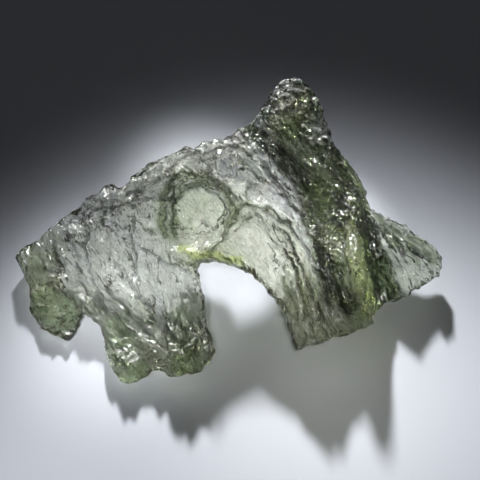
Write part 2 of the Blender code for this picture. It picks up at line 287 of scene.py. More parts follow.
def scoop(places, cups):
    """The deepest of many sharp-rimmed cups: (u, v, half length, half width, turn, depth)."""
    order = np.argsort(places[:, 0])
    across = places[order, 0]
    relief = np.zeros(len(places))
    for u, v, length, width, turn, depth in cups:
        first, last = np.searchsorted(across, (u - length, u + length))
        near = order[first:last]
        du, dv = places[near, 0] - u, places[near, 1] - v
        along = (du * math.cos(turn) + dv * math.sin(turn)) / length
        beside = (dv * math.cos(turn) - du * math.sin(turn)) / width
        cut = -depth * np.clip(1.0 - along * along - beside * beside, 0.0, 1.0)
        relief[near] = np.minimum(relief[near], cut)
    return relief


print("strokes wander up to", round(SWAY + QUIVER, 2), "mm to each side")

# %% [markdown]
# ## The steps, furrows and cups
#
# These are the marks that make this shard itself: the double rim of the bubble bowl, the rim of the
# smooth hollow over the bay, the deep black furrow under the peak, the bundle of ribs that runs
# down to the right leg, and the sharp ridge at the root of the right lobe.  They are given one path
# each.

# %% The steps and furrows
# Sharp steps, each lower on the right of its path: (depth, reach, path).
LEDGES = [
    (0.75, 1.1, [(-5.8, 0.0), (-6.1, 1.8), (-6.0, 3.4), (-5.7, 4.7), (-4.8, 5.4), (-3.6, 5.5),
                 (-2.5, 5.2), (-1.4, 4.5), (-0.4, 3.7), (0.2, 2.9)]),
    (0.50, 0.8, [(-5.3, 0.2), (-5.6, 2.2), (-5.3, 3.5), (-4.5, 4.2), (-3.4, 4.4), (-2.3, 4.1),
                 (-1.4, 3.4), (-0.9, 2.6), (-0.7, 1.6), (-1.2, 0.8)]),
    (0.60, 0.9, [(-2.5, -1.2), (-1.7, -0.2), (-0.9, 0.8), (-0.1, 2.4), (0.6, 2.8), (1.7, 2.7),
                 (2.6, 1.9), (3.6, 1.6), (4.3, 0.8), (4.9, -0.2)]),
    (0.95, 1.2, [(1.4, 9.3), (2.5, 8.4), (3.6, 7.4), (4.4, 6.2), (5.1, 5.1), (5.6, 4.0), (5.8, 2.7),
                 (6.0, 1.4)]),
    (0.80, 1.0, [(9.3, -5.4), (8.8, -3.6), (8.5, -2.0), (8.3, -0.4), (8.4, 1.0), (8.9, 2.3)][::-1]),
    (0.90, 1.3, [(11.0, -5.3), (10.6, -4.0), (10.1, -2.4), (9.7, -0.8), (9.5, 0.6), (9.4, 2.2)]),
    (0.60, 1.3, [(10.3, 2.2), (11.1, 0.4), (11.9, -1.4), (12.5, -3.2), (13.0, -4.7)]),
    (0.70, 0.8, [(-16.7, -3.5), (-15.5, -3.6), (-14.4, -3.9), (-13.2, -4.8), (-12.5, -5.9)]),
    (0.45, 0.8, [(-5.9, 5.3), (-5.3, 6.4), (-3.9, 6.9), (-2.3, 7.3), (-0.4, 7.6), (0.8, 8.4)]),
    (0.45, 0.9, [(-12.2, 2.3), (-11.2, 2.6), (-10.0, 2.8), (-9.0, 3.0), (-7.7, 3.5), (-6.5, 3.6)]),
    (0.40, 0.9, [(-8.3, 0.0), (-7.3, -0.8), (-6.0, -1.6), (-4.8, -2.1), (-3.6, -2.4)]),
    (0.45, 0.9, [(-12.8, 2.9), (-12.1, 0.6), (-12.3, -1.2), (-11.5, -3.6), (-10.3, -5.8)]),
    (0.35, 0.8, [(-8.2, 2.4), (-8.6, 0.4), (-8.2, -1.6), (-7.9, -4.0)]),
    (0.60, 0.9, [(-10.9, -5.0), (-9.6, -6.0), (-8.2, -7.4), (-7.0, -9.2)]),
    (0.50, 0.9, [(-6.0, -6.0), (-5.6, -7.4), (-5.5, -9.6)]),
]
# Sharp furrows: (depth, half width, path).
GROOVES = [
    (0.55, 0.40, [(0.8, 8.6), (1.7, 7.5), (2.8, 6.3), (3.7, 5.2), (4.5, 3.9), (5.0, 2.7),
                  (5.7, 1.4), (6.5, 0.0)]),
    (0.50, 0.40, [(1.7, 6.4), (2.4, 5.2), (3.3, 4.0), (4.1, 2.8), (5.0, 1.4), (5.8, 0.0),
                  (6.5, -1.7)]),
    (0.45, 0.35, [(1.7, 2.8), (2.8, 2.1), (3.7, 1.3), (4.5, 0.4), (5.3, -0.8), (6.0, -2.2),
                  (6.7, -4.0), (7.5, -6.0)]),
    (0.45, 0.35, [(2.8, 1.2), (3.8, 0.0), (4.4, -1.2), (5.0, -2.8), (5.6, -4.4), (6.2, -6.0),
                  (6.5, -7.2)]),
    (0.40, 0.35, [(3.2, 0.0), (4.0, -1.7), (4.4, -3.2), (4.8, -4.8), (5.2, -6.7)]),
    (0.70, 0.50, [(7.0, -1.5), (7.4, -3.2), (7.9, -4.8), (8.7, -6.4)]),
    (0.60, 0.40, [(7.8, -1.5), (8.1, -3.3), (8.6, -4.9)]),
    (0.50, 0.40, [(6.3, -2.8), (6.8, -4.4), (7.2, -6.0)]),
    (0.45, 0.35, [(11.1, 1.8), (12.3, 0.3), (13.7, -1.7)]),
    (0.40, 0.35, [(11.9, 1.4), (13.2, 0.0), (14.7, -1.7)]),
    (0.35, 0.30, [(12.9, 1.1), (14.2, -0.2), (15.5, -1.7)]),
    (0.35, 0.35, [(11.5, 0.0), (12.3, -1.4), (13.1, -2.8)]),
    (0.40, 0.30, [(6.5, 7.9), (7.6, 6.2), (8.7, 4.6), (9.7, 2.9)]),
    (0.40, 0.30, [(6.0, 7.4), (6.9, 6.1), (8.0, 4.5), (9.0, 2.8)]),
    (0.35, 0.30, [(5.9, 11.6), (6.4, 10.2), (6.6, 9.0)]),
    (0.30, 0.25, [(-5.6, 1.4), (-5.3, 0.4), (-4.5, -0.6)]),
    (0.30, 0.25, [(-15.4, 0.4), (-14.6, -1.4), (-13.6, -3.0)]),
    (0.30, 0.25, [(-14.2, 1.2), (-13.4, -0.6), (-12.6, -2.6)]),
    (0.30, 0.25, [(-16.6, -0.6), (-15.8, -2.0), (-15.0, -3.0)]),
    (0.30, 0.30, [(-13.2, -3.2), (-11.8, -4.4), (-10.4, -5.9), (-9.0, -7.6)]),
    (0.30, 0.30, [(-11.0, -3.6), (-9.2, -5.2), (-7.4, -7.0), (-6.0, -8.6)]),
    (0.25, 0.30, [(-10.4, -1.4), (-8.8, -3.4), (-7.0, -5.2), (-5.4, -6.8)]),
    (0.30, 0.30, [(-5.0, -5.6), (-4.4, -7.2), (-4.2, -9.0)]),
    (0.30, 0.30, [(-3.9, -5.8), (-3.5, -7.4), (-3.4, -9.4)]),
]
print(len(LEDGES), "steps and", len(GROOVES), "furrows")

# %% The single cups
# (u, v, half length, half width, turn in degrees, depth)
CUPS = [
    (1.0, 3.7, 0.7, 0.6, 0, 0.30), (0.6, 2.4, 0.5, 0.5, 0, 0.22), (5.1, 7.3, 1.6, 0.9, -50, 0.55),
    (6.5, 4.9, 1.1, 0.8, -50, 0.50), (7.5, 2.8, 1.0, 1.0, 0, 0.45),
    (-1.4, 5.9, 2.0, 1.1, -15, 0.45), (2.6, 3.5, 2.2, 1.0, -40, 0.35),
    (-10.5, 4.0, 0.5, 0.5, 0, 0.25), (-12.8, 2.1, 1.2, 0.7, 60, 0.45),
    (-10.8, 1.3, 1.0, 0.7, 50, 0.40), (5.9, 10.1, 1.1, 0.7, -60, 0.30),
    (5.5, 11.5, 0.8, 0.7, -60, 0.50), (-7.4, 4.1, 1.2, 0.7, -20, 0.25),
    (3.7, 12.3, 0.8, 0.7, 30, 0.30), (3.0, 10.9, 0.7, 0.7, 0, 0.30), (4.3, 10.5, 0.8, 0.7, 0, 0.25),
    (-4.7, -7.8, 0.7, 1.3, 0, 0.35), (-3.3, -8.7, 0.6, 1.0, 0, 0.30),
    (-8.6, -8.6, 1.2, 0.7, -30, 0.30), (-9.0, -10.3, 0.9, 0.6, 0, 0.30),
    (-7.0, -9.8, 0.7, 0.6, 0, 0.25), (-15.6, -5.8, 0.8, 0.6, 0, 0.20),
    (-14.1, -6.5, 0.7, 0.6, 0, 0.15), (-14.2, 1.8, 0.8, 0.6, 40, 0.25),
    (-15.1, 0.5, 0.7, 0.4, 30, 0.25), (-9.1, 0.7, 1.4, 0.7, -62, 0.25),
    (12.5, 0.3, 1.4, 0.6, -50, 0.25), (13.7, -1.8, 1.3, 0.6, -55, 0.25),
    (11.6, -1.7, 1.7, 0.6, -78, 0.30), (9.3, 4.9, 1.5, 0.5, -54, 0.30),
    (8.2, 6.9, 1.3, 0.5, -56, 0.30), (5.3, -6.2, 0.7, 0.9, 0, 0.30), (8.5, -6.5, 0.8, 0.5, 0, 0.25),
    (0.4, -0.4, 1.6, 0.8, -50, 0.20), (3.1, -3.5, 1.4, 0.7, -58, 0.20),
    (-6.3, -5.5, 1.4, 0.9, -70, 0.22), (-4.9, -3.6, 1.1, 0.9, -70, 0.20),
    (-9.7, -1.8, 1.5, 0.7, -64, 0.20), (-11.7, -1.8, 1.4, 0.6, -62, 0.22),
    (-14.6, -1.5, 1.3, 0.6, -60, 0.22),
]
# A ladder of short ripples between the furrows and the sharp ridge, with their turn in radians.
RIPPLE_GAP = 0.36
RIPPLES = [
    (7.3 + 0.1 * math.sin(5 * v), v, 0.75, 0.21, -0.15, 0.30)
    for v in np.arange(-1.8, 2.1, RIPPLE_GAP)
]
print(len(CUPS), "cups and", len(RIPPLES), "ripples")

# %% [markdown]
# ## The grain of the skin
#
# Between those marks the whole skin is covered with thousands of small cups.  They are round on the
# peak and the upper rim, and drawn out along the old flow everywhere else.  A texture with one
# stretch and one direction would look like brushed metal, so a table says at 42 places which way
# the grain runs, how drawn out and how deep it is, and how frosted the glass is there; everything
# between is blended.

# %% The grain table
# (u, v, direction in degrees, how drawn out, how deep, how frosted)
GRAIN = [
    (-17.1, -2.0, -62, 3.0, 0.9, 0.25), (-14.7, 0.0, -62, 2.5, 1.0, 0.20),
    (-12.7, 2.1, -60, 1.5, 1.3, 0.18), (-13.3, -3.6, -45, 3.0, 0.8, 0.34),
    (-10.5, -1.2, -68, 3.0, 0.8, 0.12), (-10.4, -5.7, -42, 3.5, 0.7, 0.40),
    (-9.0, 2.0, -52, 1.6, 1.2, 0.20), (-7.2, -1.8, -78, 3.0, 0.8, 0.12),
    (-7.9, -7.5, -42, 3.5, 0.9, 0.42), (-8.6, 4.4, 0, 1.2, 1.4, 0.25),
    (-4.7, -4.7, -82, 2.5, 0.7, 0.14), (-5.8, -9.0, -48, 2.0, 1.2, 0.30),
    (-3.9, -8.6, -72, 2.0, 1.2, 0.30), (-8.7, -9.8, -58, 1.8, 1.1, 0.30),
    (-14.8, -6.2, -35, 1.5, 1.0, 0.30), (-1.2, 6.1, -25, 1.5, 1.2, 0.34),
    (-3.2, 2.3, -40, 1.3, 0.5, 0.12), (-5.5, 0.6, -40, 1.5, 0.6, 0.12),
    (-0.8, -0.4, -30, 3.0, 0.4, 0.10), (1.2, -0.8, -52, 4.0, 0.35, 0.10),
    (1.8, 4.0, -48, 3.0, 0.8, 0.14), (2.7, -3.5, -58, 4.0, 0.45, 0.10),
    (4.1, 6.5, -52, 5.0, 1.4, 0.20), (3.6, 1.0, -55, 4.5, 0.9, 0.12),
    (5.1, -2.0, -68, 5.0, 1.3, 0.12), (4.6, -6.5, -72, 3.0, 1.1, 0.25),
    (6.6, -3.9, -72, 5.0, 1.4, 0.15), (7.1, 0.4, -10, 1.5, 1.5, 0.15),
    (6.4, 7.3, -52, 2.0, 1.6, 0.15), (8.5, 5.5, -54, 4.0, 1.4, 0.20),
    (7.2, 2.8, -60, 1.6, 1.6, 0.15), (8.9, -6.2, -60, 2.0, 1.0, 0.25),
    (8.8, -0.8, -84, 2.0, 0.5, 0.15), (9.4, -3.8, -80, 2.5, 0.5, 0.15),
    (10.7, -2.0, -80, 3.0, 0.9, 0.10), (11.5, -2.4, -74, 3.0, 0.8, 0.10),
    (12.7, 0.6, -42, 3.0, 1.0, 0.10), (12.7, -3.6, -66, 3.0, 0.9, 0.12),
    (14.8, -1.8, -34, 2.5, 1.0, 0.12), (4.0, 11.2, -70, 1.2, 1.5, 0.15),
    (6.2, 10.1, -62, 1.6, 1.3, 0.15), (2.0, 9.2, -55, 2.0, 1.3, 0.25),
]


BLEND = 0.3


def grain_at(places):
    """Direction, stretch, depth and frost of the grain at each place, blended from the rows near it.

    Directions are doubled while they are blended, because grain that runs up also runs down.
    """
    rows = np.array(GRAIN)
    gap = ((places[:, None] - rows[None, :, :2]) ** 2).sum(axis=2) + BLEND
    weight = 1.0 / gap**2
    weight /= weight.sum(axis=1)[:, None]
    doubled = 2.0 * np.radians(rows[:, 2])
    turn = 0.5 * np.arctan2(weight @ np.sin(doubled), weight @ np.cos(doubled))
    return turn, weight @ rows[:, 3], weight @ rows[:, 4], weight @ rows[:, 5]


print(len(GRAIN), "rows of grain")


# %% A field of etched cups
LEFT, RIGHT, BOTTOM, TOP = -19.0, 18.0, -12.0, 14.5
# Each cup varies at random between these shares of its usual size, length and depth.
SIZES, LENGTHS, DEPTHS = (0.6, 1.35), (0.7, 1.3), (0.4, 1.4)
# Its turn varies by about this many radians, and by up to one more if it is less drawn out than ROUND.
TURN_SPREAD = 0.16
ROUND = 1.6


def scatter(rng, spacing):
    """Places over the whole face, about this far apart but in no order."""
    u, v = np.meshgrid(np.arange(LEFT, RIGHT, spacing), np.arange(BOTTOM, TOP, spacing))
    places = np.c_[u.ravel(), v.ravel()]
    return places + rng.uniform(-0.5, 0.5, places.shape) * spacing


def etched(rng, places, spacing, half_width, depth, drawn_out):
    """A field of cups that follow the grain; nearly round ones are turned at random."""
    centres = scatter(rng, spacing)
    turn, stretch, strength, _ = grain_at(centres)
    stretch = 1.0 + (stretch - 1.0) * drawn_out
    size = half_width * rng.uniform(*SIZES, len(centres))
    turn = turn + rng.normal(0.0, TURN_SPREAD, len(centres))
    turn = turn + (stretch < ROUND) * rng.uniform(-1.0, 1.0, len(centres))
    lengths = size * stretch * rng.uniform(*LENGTHS, len(centres))
    depths = depth * strength * rng.uniform(*DEPTHS, len(centres)) * size / half_width
    relief = scoop(places, np.c_[centres, lengths, size, turn, depths])
    return relief - relief.mean()


def etched_skin(places, seed, fields):
    """Several fields of cups over each other; the same seed gives the same skin each time."""
    rng = np.random.default_rng(seed)
    relief = np.zeros(len(places))
    for spacing, half_width, depth, drawn_out in fields:
        relief += etched(rng, places, spacing, half_width, depth, drawn_out)
    return relief


print("cups are", SIZES[0], "to", SIZES[1], "times their usual size")

# %% The relief of the face
# (spacing, half width, depth, how far the grain draws the cups out)
FACE_FIELDS = [(0.95, 0.42, 0.34, 1.0), (0.46, 0.22, 0.24, 1.0), (0.27, 0.14, 0.12, 0.4)]
FACE_SEED = 7


def face_relief(places):
    """The drawn strokes and the etched skin of the face, as two heights."""
    drawn = wander(places)
    strokes = np.zeros(len(places))
    for depth, reach, path in LEDGES:
        strokes += ledge(drawn, depth, reach, path)
    for depth, half_width, path in GROOVES:
        strokes += groove(drawn, depth, half_width, path)
    named = np.array(CUPS)
    named[:, 4] = np.radians(named[:, 4])
    strokes += scoop(drawn, named)
    strokes += scoop(drawn, RIPPLES)
    return strokes, etched_skin(places, FACE_SEED, FACE_FIELDS)


print(len(FACE_FIELDS), "fields of cups on the face")

# %% [markdown]
# ## Carving the face and the underside
#
# Three sizes of cup lie over each other on the face, each about half the size of the last, because
# the real skin is rough at every scale.  The underside gets two.  The push is along the normal of
# the face and fades out at the edge, so that the outline of the shard stays as it was packed.

# %% Carve the face
FULL_DEPTH = 0.6
points = points_of(shard)
normals = normals_of(shard)
facing = normals @ FACE_OUT
upper = np.flatnonzero(facing > 0.0)
strokes, skin = face_relief(on_face(points[upper]))
share = smooth_step(facing[upper] / FULL_DEPTH)
points[upper] += FACE_OUT * ((strokes + skin) * share)[:, None]
print("strokes", round(float(np.ptp(strokes)), 2), "mm, skin", round(float(np.ptp(skin)), 2), "mm")

# %% Carve the underside
UNDER_FIELDS = [(1.3, 0.75, 0.28, 1.0), (0.5, 0.26, 0.14, 1.0)]
UNDER_SEED = 11
lower = np.flatnonzero(facing < 0.0)
relief = etched_skin(on_face(points[lower]), UNDER_SEED, UNDER_FIELDS)
share = smooth_step(-facing[lower] / FULL_DEPTH)
points[lower] -= FACE_OUT * (relief * share)[:, None]
put_points(shard, points)
print("underside skin", round(float(np.ptp(relief)), 2), "mm")

# %% [markdown]
# ## Ragged edges
#
# The rim of the plate is chewed and knobbly.  The strokes fade out there, so the rim gets its own
# relief: a Displace modifier with a cell texture, held to the rim by a vertex group.  Whatever
# would reach below the paper is pressed flat, as the feet of the shard are.

# %% Ragged edges
# The rim is the skin that stands nearly upright to the face; beyond that its relief fades out.
RIM_FROM, RIM_FADE, RIM_LEAST = 0.25, 0.5, 0.02
pits = bpy.data.textures.new("pits", "VORONOI")
pits.noise_scale = 0.55
pits.noise_intensity = 1.0
edges = shard.vertex_groups.new(name="edges")
wall = 1.0 - smooth_step((np.abs(facing) - RIM_FROM) / RIM_FADE)
for number in np.flatnonzero(wall > RIM_LEAST):
    edges.add([int(number)], float(wall[number]), "REPLACE")
displace = shard.modifiers.new("pits", "DISPLACE")
displace.texture = pits
displace.texture_coords = "LOCAL"
displace.vertex_group = "edges"
displace.strength = 0.34
displace.mid_level = 0.5
apply_modifier(shard, "pits")
points = points_of(shard)
points[:, 2] = np.maximum(points[:, 2], 0.0)
put_points(shard, points)
print("rim points", int((wall > RIM_LEAST).sum()))

# %% [markdown]
# ## Thinning out
#
# Even small faces everywhere are more than the piece may have.  The underside is coarser in reality
# too, so it gives up most of them: a Decimate modifier with a vertex group leaves the face nearly
# whole.

# %% Thin out the underside
TRIANGLES = 196000
PER_QUAD = 2.0
UNDER_BELOW = 0.1
under = shard.vertex_groups.new(name="under")
facing = normals_of(shard) @ FACE_OUT
for number in np.flatnonzero(facing < UNDER_BELOW):
    under.add([int(number)], 1.0, "REPLACE")
thin = shard.modifiers.new("thin out", "DECIMATE")
thin.ratio = TRIANGLES / (PER_QUAD * len(shard.data.polygons))
thin.vertex_group = "under"
thin.vertex_group_factor = 1.0
thin.use_collapse_triangulate = True
apply_modifier(shard, "thin out")
print("shard has", len(shard.data.polygons), "triangles")

# %% [markdown]
# ## Where the glass is dark, lime or frosted
#
# One absorption value darkens glass evenly with depth, but this glass has a lime seam over the bay
# and at the root of the lobe, and it carries painted shade: dark strokes where thick and steep glass
# looks dark, on the peak, the band and the right half, a darker upper-left side inside the bubble
# bowl, and darkened furrows, step feet and pits, where shade falls in the hollows.  These could be
# separate materials, yet they blend into each other, so they are laid down as soft strokes into one
# colour attribute that the glass reads.  Two more attributes carry the frost and the bite of the acid
# from the grain table to the material.

# %% Where the glass is lime and where shade is painted
# (colour, half width, width of the soft edge, path); the dark rows paint shade where thick and steep
# glass looks dark, the yellow-green rows give the lime colour
SHADE_AND_COLOUR_STROKES = [
    # The right half: painted shade in the deep furrow under the peak, on the band, the peak, the ribs
    # and the dark panel, and lime colour on the sharp ridge.
    ((0.16, 0.20, 0.12), 0.50, 0.4, [(0.9, 8.7), (2.5, 7.3), (3.7, 6.4), (4.6, 5.5), (5.4, 4.3)]),
    ((0.40, 0.48, 0.26), 1.00, 0.7, [(6.2, 3.8), (6.6, 2.6)]),
    ((0.36, 0.42, 0.28), 1.10, 0.7, [(6.2, 1.8), (7.0, 0.2), (7.1, -1.8)]),
    ((0.40, 0.46, 0.32), 1.00, 0.8, [(4.2, 8.6), (5.8, 7.0), (7.4, 5.2), (8.6, 3.4)]),
    ((0.06, 0.08, 0.04), 0.40, 0.4, [(7.9, 3.3), (8.3, 2.2), (8.0, 1.6)]),
    ((0.55, 0.62, 0.42), 0.80, 0.8, [(5.6, 12.2), (6.1, 10.6), (5.2, 9.4)]),
    ((0.20, 0.24, 0.15), 0.20, 0.3, [(6.6, 8.4), (7.8, 6.6), (8.9, 4.9), (9.6, 3.4)]),
    ((0.30, 0.35, 0.22), 0.15, 0.3, [(6.0, 7.4), (7.3, 5.8), (8.4, 4.3)]),
    ((0.10, 0.13, 0.06), 0.50, 0.4, [(6.2, -0.9), (7.0, -2.4), (7.7, -3.9), (8.6, -5.3)]),
    ((0.05, 0.08, 0.03), 0.75, 0.3, [(9.8, 1.8), (10.4, 0.2), (10.9, -1.4), (11.2, -3.0),
                                     (11.5, -4.6)]),
    ((0.12, 0.16, 0.07), 0.35, 0.4, [(10.2, 1.6), (11.2, -0.8), (12.0, -3.0), (12.3, -4.2)]),
    ((1.00, 1.00, 0.62), 0.35, 0.4, [(8.9, 2.0), (8.5, 0.6), (8.7, -1.3), (9.2, -2.6), (9.7, -4.0),
                                     (10.1, -5.8)]),
    # The bubble bowl: painted shade on its upper-left inside, on its ring and along its two rims.
    ((0.66, 0.71, 0.58), 0.55, 1.0, [(-4.9, 1.2), (-4.5, 2.7), (-3.3, 3.5)]),
    ((0.62, 0.67, 0.55), 0.45, 0.6, [(-5.6, 0.6), (-5.9, 1.9), (-5.7, 3.6), (-4.8, 4.7),
                                     (-3.4, 5.0)]),
    ((0.35, 0.40, 0.28), 0.12, 0.3, [(-5.9, 0.2), (-6.3, 2.0), (-6.1, 3.6), (-5.2, 4.9),
                                     (-3.9, 5.4)]),
    ((0.35, 0.40, 0.28), 0.12, 0.3, [(-5.1, 0.4), (-5.4, 1.9), (-5.2, 3.4), (-4.5, 4.2),
                                     (-3.4, 4.5), (-2.4, 4.2)]),
    ((0.40, 0.45, 0.30), 0.20, 0.4, [(-3.4, 5.2), (-1.9, 4.6), (-0.8, 3.6), (-0.5, 2.4),
                                     (-0.9, 1.3)]),
    ((0.45, 0.50, 0.38), 0.12, 0.3, [(-2.5, -1.2), (-1.7, -0.2), (-0.9, 0.8), (-0.1, 2.4),
                                     (0.6, 2.8), (1.7, 2.7), (3.0, 1.9), (4.0, 1.2)]),
    ((0.90, 1.00, 0.40), 0.20, 0.3, [(-4.8, -0.6), (-3.6, -1.1), (-1.8, -1.3), (0.0, -1.7)]),
    ((1.00, 1.00, 0.85), 2.50, 2.0, [(-1.0, 0.0), (2.0, -2.0), (3.4, -5.0)]),
    ((0.90, 0.95, 0.82), 2.00, 2.0, [(12.5, -1.0), (15.0, -2.0)]),
    ((0.40, 0.46, 0.32), 0.25, 0.4, [(11.2, 1.7), (12.0, 0.6), (12.6, -0.4)]),
    ((0.50, 0.56, 0.42), 0.15, 0.4, [(12.4, 1.2), (13.6, -0.4), (14.2, -1.8)]),
    ((0.50, 0.56, 0.42), 0.25, 0.5, [(14.0, 0.2), (15.2, -0.8), (16.2, -1.8)]),
    ((0.80, 0.95, 0.68), 0.90, 0.9, [(-15.8, -5.2), (-14.0, -6.0)]),
    ((0.62, 0.72, 0.52), 0.70, 0.8, [(-4.6, -6.6), (-4.3, -8.6), (-4.2, -10.0)]),
    ((0.65, 0.76, 0.55), 0.60, 0.8, [(-9.8, -7.0), (-9.2, -9.0), (-8.0, -10.4)]),
    ((0.85, 0.92, 0.72), 0.80, 0.9, [(-18.0, -1.6), (-16.6, -1.2), (-15.2, -0.6)]),
]
# Painted shade in the furrows: the most that a furrow is darkened, then the depth at which it would
# turn black and its width, in mm.
FURROW_SHADE, FURROW_SHADE_DEPTH, FURROW_SHADE_WIDTH = 0.85, 0.60, 0.18
# Painted shade below the steps and in the pits of the skin: how much it darkens them, with their width
# and their full depth.
STEP_SHADE, STEP_SHADE_WIDTH = 0.8, 0.25
PIT_SHADE, PIT_SHADE_DEPTH = 0.15, 0.30
print(len(SHADE_AND_COLOUR_STROKES), "tinted strokes")

# %% Lay the tint and the painted shade on
places = on_face(points_of(shard))
drawn = wander(places)
tint_and_shade = np.ones((len(places), 4))
for colour, half_width, soft, path in SHADE_AND_COLOUR_STROKES:
    distance, _ = path_distance(drawn, path)
    weight = 1.0 - smooth_step((distance - half_width) / soft)
    tint_and_shade[:, :3] *= 1.0 - weight[:, None] * (1.0 - np.array(colour))
# Darken each furrow, as painted shade in the crease.
for depth, half_width, path in GROOVES:
    distance, _ = path_distance(drawn, path)
    weight = np.exp(-((distance / FURROW_SHADE_WIDTH) ** 2)) * end_fade(drawn, path)
    tint_and_shade[:, :3] *= 1.0 - min(depth / FURROW_SHADE_DEPTH, FURROW_SHADE) * weight[:, None]
# Darken the foot of each step, as painted shade below it.
for depth, reach, path in LEDGES:
    distance, right = path_distance(drawn, path)
    weight = np.exp(-((distance / STEP_SHADE_WIDTH) ** 2)) * right * end_fade(drawn, path)
    tint_and_shade[:, :3] *= 1.0 - STEP_SHADE * weight[:, None]
# Darken the pits of the skin, as painted shade in the hollows.
_, skin = face_relief(places)
pit_shade = np.clip(-skin / PIT_SHADE_DEPTH, 0.0, 1.0)
tint_and_shade[:, :3] *= 1.0 - PIT_SHADE * pit_shade[:, None]
seen = normals_of(shard) @ FACE_OUT > 0.0
tint_and_shade[~seen, :3] = 1.0
colours = shard.data.color_attributes.new("tint_and_shade", "FLOAT_COLOR", "POINT")
colours.data.foreach_set("color", tint_and_shade.ravel())
print("mean tint", tint_and_shade[seen, :3].mean(axis=0).round(2))

# %% Frost and bite
MOST_FROST = 0.8
_, _, bite_at, frost_at = grain_at(places)
frost = shard.data.attributes.new("frost", "FLOAT", "POINT")
frost.data.foreach_set("value", MOST_FROST * frost_at)
bite = shard.data.attributes.new("bite", "FLOAT", "POINT")
bite.data.foreach_set("value", bite_at)
print("frost", frost_at.min().round(2), "to", frost_at.max().round(2))

# %% [markdown]
# ## Back to real size
#
# The carving is done, so the mesh goes back from millimetres to metres and is shaded smooth.  Its
# ridges stay crisp, because they are cut into the mesh and not left to the shading.

# %% Back to real size
resize_all(shard, MM)
make_active(shard)
bpy.ops.object.shade_smooth()
print("shard is", [round(side / MM, 2) for side in shard.dimensions], "mm")

# %% [markdown]
# ## The glass
#
# Clear glass is three plain things: it lets light through, it bends it, and it swallows some
# colours on the way.  Painting it green would make it look like plastic; here the green comes from
# depth, because thin glass lets nearly everything through and a thick ridge keeps only olive light.
# A clear coat adds the wet shine on top, with its own roughness, so that it can glitter while the
# body stays clear.

# %% The body of the glass
glass = bpy.data.materials.new("green_glass")
glass.use_nodes = True
nodes, links = glass.node_tree.nodes, glass.node_tree.links
shader = nodes["Principled BSDF"]
shader.inputs["Transmission Weight"].default_value = 1.0
shader.inputs["IOR"].default_value = 1.49
shader.inputs["Coat Weight"].default_value = 1.0
shader.inputs["Coat Roughness"].default_value = 0.32
shader.inputs["Coat IOR"].default_value = 1.75
absorb = nodes.new("ShaderNodeVolumeAbsorption")
absorb.inputs["Color"].default_value = (0.50, 0.58, 0.06, 1.0)
absorb.inputs["Density"].default_value = 160.0
links.new(absorb.outputs["Volume"], nodes["Material Output"].inputs["Volume"])
print("glass bends light by", round(shader.inputs["IOR"].default_value, 2))

# %% [markdown]
# ## The finest skin
#
# Under the smallest carved cup there is more: hair-fine streaks along the flow, and flats as small
# as salt grains that flash one by one.  Meshing those would take millions of faces.  A bump of
# drawn-out cells makes the streaks, and a second set of cells, each with its own random lean, makes
# the flashing flats.  All of them are laid along the grain by one Mapping node each, on Object
# coordinates, so they keep still when the view turns.

# %% Patterns along the grain
coords = nodes.new("ShaderNodeTexCoord")
GRAIN_ANGLE = math.radians(-58.0)
grain_way = Vector(FACE_RIGHT * math.cos(GRAIN_ANGLE) + FACE_UP * math.sin(GRAIN_ANGLE))
turn = Matrix([grain_way, Vector(FACE_OUT).cross(grain_way), Vector(FACE_OUT)]).transposed()


def read(name):
    """A node that reads one of the attributes of the mesh."""
    reader = nodes.new("ShaderNodeAttribute")
    reader.attribute_name = name
    return reader


def along_grain(kind, size):
    """A pattern node of unit scale, stretched to this size with its length along the grain."""
    mapping = nodes.new("ShaderNodeMapping")
    mapping.vector_type = "TEXTURE"
    mapping.inputs["Rotation"].default_value = turn.to_euler()
    mapping.inputs["Scale"].default_value = size
    pattern = nodes.new(kind)
    pattern.inputs["Scale"].default_value = 1.0
    links.new(coords.outputs["Object"], mapping.inputs["Vector"])
    links.new(mapping.outputs["Vector"], pattern.inputs["Vector"])
    return pattern


print("grain runs along", [round(c, 2) for c in grain_way])

# %% Streaks
# Size and height in metres.
STREAK_SIZE = (0.0011, 0.00026, 0.00026)
STREAK_HEIGHT = 0.00006
streak_cells = along_grain("ShaderNodeTexVoronoi", STREAK_SIZE)
streaks = nodes.new("ShaderNodeBump")
streaks.inputs["Strength"].default_value = 1.0
streaks.inputs["Distance"].default_value = STREAK_HEIGHT
links.new(streak_cells.outputs["Distance"], streaks.inputs["Height"])
print("streak height in mm", round(STREAK_HEIGHT / MM, 3))

# %% Flashing flats and frost
# Sizes in metres.
FLAT_SIZE, FLAT_TILT = (0.0005, 0.00016, 0.00016), 0.40
GLINT_SIZE, GLINT_TILT = (0.00014, 0.00011, 0.00011), 1.30
bitten = read("bite")


def set_to(kind, operation):
    """A Math or Vector Math node set to this operation."""
    made = nodes.new(kind)
    made.operation = operation
    return made


def facets(size, tilt):
    """Tiny flats on the streaks, each leaning its own way, more where the acid has bitten deeper."""
    cells = along_grain("ShaderNodeTexVoronoi", size)
    middle = set_to("ShaderNodeVectorMath", "SUBTRACT")
    middle.inputs[1].default_value = (0.5, 0.5, 0.5)
    amount = set_to("ShaderNodeMath", "MULTIPLY")
    amount.inputs[1].default_value = tilt
    lean = set_to("ShaderNodeVectorMath", "SCALE")
    added = set_to("ShaderNodeVectorMath", "ADD")
    unit = set_to("ShaderNodeVectorMath", "NORMALIZE")
    links.new(cells.outputs["Color"], middle.inputs[0])
    links.new(bitten.outputs["Fac"], amount.inputs[0])
    links.new(middle.outputs["Vector"], lean.inputs[0])
    links.new(amount.outputs["Value"], lean.inputs["Scale"])
    links.new(streaks.outputs["Normal"], added.inputs[0])
    links.new(lean.outputs["Vector"], added.inputs[1])
    links.new(added.outputs["Vector"], unit.inputs[0])
    return unit.outputs["Vector"]


